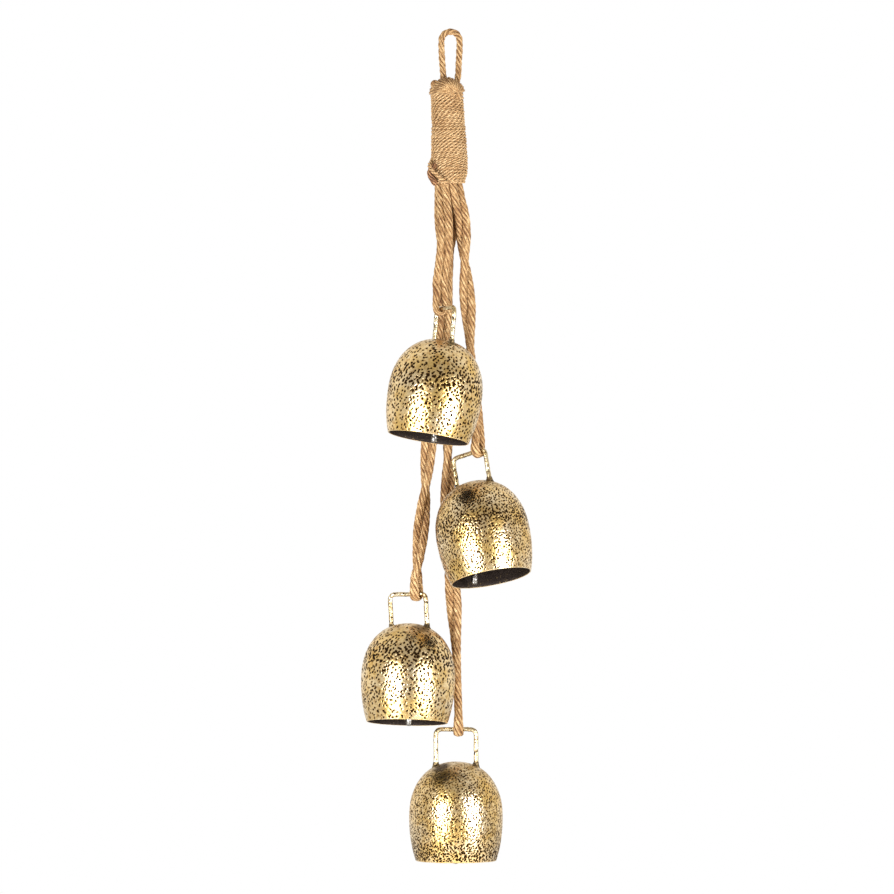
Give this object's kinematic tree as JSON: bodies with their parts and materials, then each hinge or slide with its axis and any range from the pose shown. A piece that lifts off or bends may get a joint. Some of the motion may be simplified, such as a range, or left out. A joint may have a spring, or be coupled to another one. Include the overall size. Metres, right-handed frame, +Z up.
{
  "type": "rustic hanging bell cluster",
  "caption": "Hammered antique-gold bells with wire bails, hung at different heights on doubled jute ropes gathered in a twine binding with a rope hanging loop.",
  "frame": {"origin": "inside top of the hanging loop, where the hook bears", "axes": "+Z up, the cluster hangs down -Z; -Y is the front, the side the picture shows; +X to the right seen from the front"},
  "size_m": [0.1505, 0.1443, 0.7362],
  "materials": {
    "antique_gold": "hammered sheet, antique gold with dark pits",
    "bail_wire": "hammered wire, pale antique gold",
    "braze": "dark, scorched",
    "dark_iron": "blackened",
    "bright_rod": "bright, worn",
    "jute_rope": "laid jute",
    "jute_twine": "fine jute twine",
    "cut_jute": "dark cut end"
  },
  "bodies": {
    "hanger": {"hanging_loop": "jute_rope", "binding_twine": "jute_twine", "binding_tail": "cut_jute", "twine_hitch": "jute_twine"},
    "doubled_rope_1": {"rope_1": "jute_rope"},
    "bell_1": {"bell_1_shell": "antique_gold", "bell_1_bail": "bail_wire", "bell_1_braze_left": "braze", "bell_1_braze_right": "braze", "bell_1_staple": "dark_iron"},
    "clapper_1": {"bell_1_clapper": "bright_rod"},
    "doubled_rope_2": {"rope_2": "jute_rope"},
    "bell_2": {"bell_2_shell": "antique_gold", "bell_2_bail": "bail_wire", "bell_2_braze_left": "braze", "bell_2_braze_right": "braze", "bell_2_staple": "dark_iron"},
    "clapper_2": {"bell_2_clapper": "bright_rod"},
    "doubled_rope_3": {"rope_3": "jute_rope"},
    "bell_3": {"bell_3_shell": "antique_gold", "bell_3_bail": "bail_wire", "bell_3_braze_left": "braze", "bell_3_braze_right": "braze", "bell_3_staple": "dark_iron"},
    "clapper_3": {"bell_3_clapper": "bright_rod"},
    "doubled_rope_4": {"rope_4": "jute_rope"},
    "bell_4": {"bell_4_shell": "antique_gold", "bell_4_bail": "bail_wire", "bell_4_braze_left": "braze", "bell_4_braze_right": "braze", "bell_4_staple": "dark_iron"},
    "clapper_4": {"bell_4_clapper": "bright_rod"}
  },
  "joints": [
    {"name": "rope_1_sway", "type": "hinge", "parent": "hanger", "child": "doubled_rope_1", "pos_m": [-0.00801, -0.00591, -0.132], "axis": [-1, 0, 0], "range_deg": [0, 20], "deforming": ["rope_1"]},
    {"name": "bell_1_swing", "type": "hinge", "parent": "doubled_rope_1", "child": "bell_1", "pos_m": [-0.00884, -0.01629, -0.24105], "axis": [-0.4336, 0.9003, -0.0383], "range_deg": [0, 20]},
    {"name": "clapper_1_swing", "type": "hinge", "parent": "bell_1", "child": "clapper_1", "pos_m": [-0.00834, -0.02932, -0.28136], "axis": [0.4273, -0.9041, 0], "range_deg": [-30, 19]},
    {"name": "rope_2_sway", "type": "hinge", "parent": "hanger", "child": "doubled_rope_2", "pos_m": [0.00381, -0.00591, -0.132], "axis": [0, -1, 0], "range_deg": [0, 15], "deforming": ["rope_2"]},
    {"name": "bell_2_swing", "type": "hinge", "parent": "doubled_rope_2", "child": "bell_2", "pos_m": [0.0243, 0.00118, -0.36554], "axis": [-0.7829, 0.5606, -0.2698], "range_deg": [0, 20]},
    {"name": "clapper_2_swing", "type": "hinge", "parent": "bell_2", "child": "clapper_2", "pos_m": [0.0212, 0.00024, -0.40579], "axis": [0.8023, -0.5969, 0], "range_deg": [-23, 15]},
    {"name": "rope_3_sway", "type": "hinge", "parent": "hanger", "child": "doubled_rope_3", "pos_m": [-0.00801, 0.00591, -0.132], "axis": [0, 1, 0], "range_deg": [0, 12], "deforming": ["rope_3"]},
    {"name": "bell_3_swing", "type": "hinge", "parent": "doubled_rope_3", "child": "bell_3", "pos_m": [-0.03008, 0.01338, -0.49197], "axis": [-0.8841, 0.4659, -0.0364], "range_deg": [0, 20]},
    {"name": "clapper_3_swing", "type": "hinge", "parent": "bell_3", "child": "clapper_3", "pos_m": [-0.03667, 0.01153, -0.53089], "axis": [0.8826, -0.4701, 0], "range_deg": [-32, 18]},
    {"name": "rope_4_sway", "type": "hinge", "parent": "hanger", "child": "doubled_rope_4", "pos_m": [0.00381, 0.00591, -0.132], "axis": [1, 0, 0], "range_deg": [0, 10], "deforming": ["rope_4"]},
    {"name": "bell_4_swing", "type": "hinge", "parent": "doubled_rope_4", "child": "bell_4", "pos_m": [0.007, 0.0272, -0.612], "axis": [1, 0, 0], "range_deg": [-25, 25]},
    {"name": "clapper_4_swing", "type": "hinge", "parent": "bell_4", "child": "clapper_4", "pos_m": [0.0048, 0.0272, -0.6535], "axis": [1, 0, 0], "range_deg": [-25, 25]}
  ]
}
